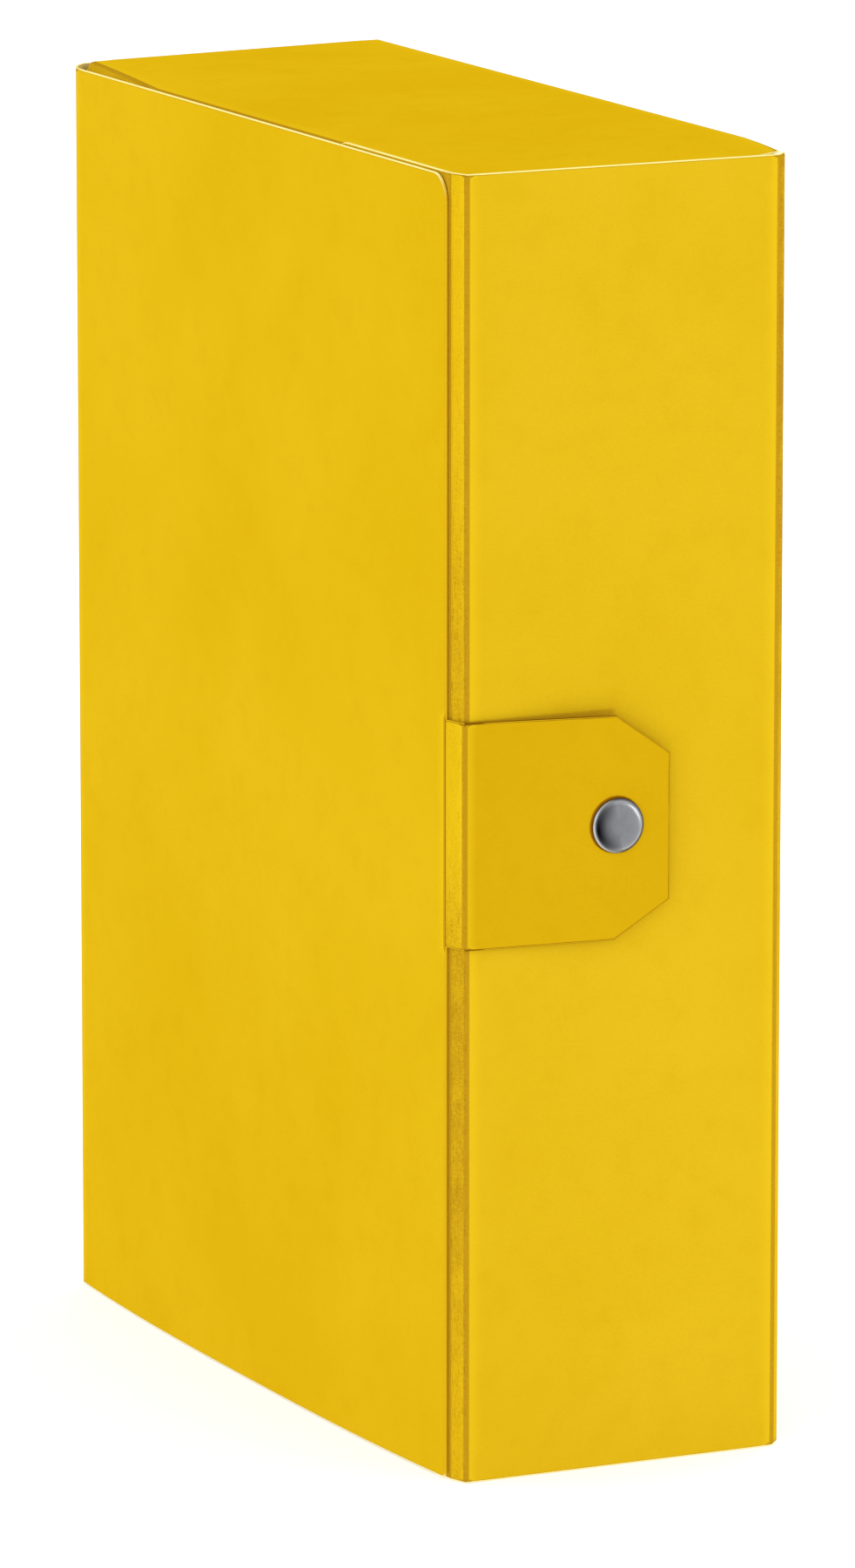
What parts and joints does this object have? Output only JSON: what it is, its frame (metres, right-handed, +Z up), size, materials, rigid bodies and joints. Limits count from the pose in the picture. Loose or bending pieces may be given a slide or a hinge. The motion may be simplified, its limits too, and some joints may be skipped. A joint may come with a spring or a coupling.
{
  "type": "folding document box",
  "caption": "Upright folding document box of varnished solid board with scored folds, inner flaps and a tab closed by a press stud.",
  "frame": {"origin": "centre of the base, on the face the box stands on", "axes": "+Z up, -Y the fore-edge with the press stud, -X the front cover, +X the back cover, +Y the spine"},
  "size_m": [0.1015, 0.2539, 0.352],
  "materials": {
    "yellow_board": "varnished yellow board, cream core at the cut edges",
    "creased_board": "varnished yellow board, scored and rubbed at the folds",
    "dark_nickel": "satin gunmetal plating",
    "nickel": "nickel plated",
    "spring_steel": "spring steel wire"
  },
  "bodies": {
    "back": {"back_cover": "yellow_board", "back_spine_crease": "creased_board", "back_fore_edge_crease": "creased_board", "back_top_crease": "creased_board", "back_bottom_crease": "creased_board"},
    "spine": {"spine_panel": "yellow_board", "spine_cover_crease": "creased_board"},
    "cover": {"front_cover": "yellow_board", "cover_tab_crease": "creased_board"},
    "tab": {"closure_tab": "yellow_board", "snap_cap": "dark_nickel", "snap_socket": "nickel", "snap_spring": "spring_steel"},
    "fore_edge": {"fore_edge_wall": "yellow_board", "fore_edge_flange_crease": "creased_board", "snap_stud": "nickel", "snap_post": "nickel"},
    "fore_flange": {"fore_edge_flange": "yellow_board"},
    "top": {"top_wall": "yellow_board", "top_flange_crease": "creased_board"},
    "top_flange_body": {"top_flange": "yellow_board"},
    "bottom": {"bottom_wall": "yellow_board", "bottom_flange_crease": "creased_board"},
    "bottom_flange_body": {"bottom_flange": "yellow_board"}
  },
  "joints": [
    {"name": "spine_fold", "type": "hinge", "parent": "back", "child": "spine", "pos_m": [0.04783, 0.12383, 0.175], "axis": [0, 0, -1], "range_deg": [0, 90]},
    {"name": "cover_fold", "type": "hinge", "parent": "spine", "child": "cover", "pos_m": [-0.04783, 0.12383, 0.175], "axis": [0, 0, -1], "range_deg": [0, 90]},
    {"name": "tab_fold", "type": "hinge", "parent": "cover", "child": "tab", "pos_m": [-0.04811, -0.12521, 0.175], "axis": [0, 0, -1], "range_deg": [0, 90]},
    {"name": "fore_edge_fold", "type": "hinge", "parent": "back", "child": "fore_edge", "pos_m": [0.04792, -0.12392, 0.175], "axis": [0, 0, 1], "range_deg": [0, 90]},
    {"name": "fore_edge_flange_fold", "type": "hinge", "parent": "fore_edge", "child": "fore_flange", "pos_m": [-0.04698, -0.12408, 0.175], "axis": [0, 0, 1], "range_deg": [0, 90]},
    {"name": "top_fold", "type": "hinge", "parent": "back", "child": "top", "pos_m": [0.04812, 0, 0.35112], "axis": [0, 1, 0], "range_deg": [0, 90]},
    {"name": "top_flange_fold", "type": "hinge", "parent": "top", "child": "top_flange_body", "pos_m": [-0.04585, 0, 0.34895], "axis": [0, 1, 0], "range_deg": [-90, 0]},
    {"name": "bottom_fold", "type": "hinge", "parent": "back", "child": "bottom", "pos_m": [0.04812, 0, 0.00088], "axis": [0, -1, 0], "range_deg": [0, 90]},
    {"name": "bottom_flange_fold", "type": "hinge", "parent": "bottom", "child": "bottom_flange_body", "pos_m": [-0.04585, 0, 0.00095], "axis": [0, -1, 0], "range_deg": [-90, 0]}
  ],
  "couplings": [
    {"joint": "fore_edge_flange_fold", "follows": "fore_edge_fold", "ratio": 1},
    {"joint": "top_flange_fold", "follows": "top_fold", "ratio": -1},
    {"joint": "bottom_flange_fold", "follows": "bottom_fold", "ratio": -1}
  ]
}
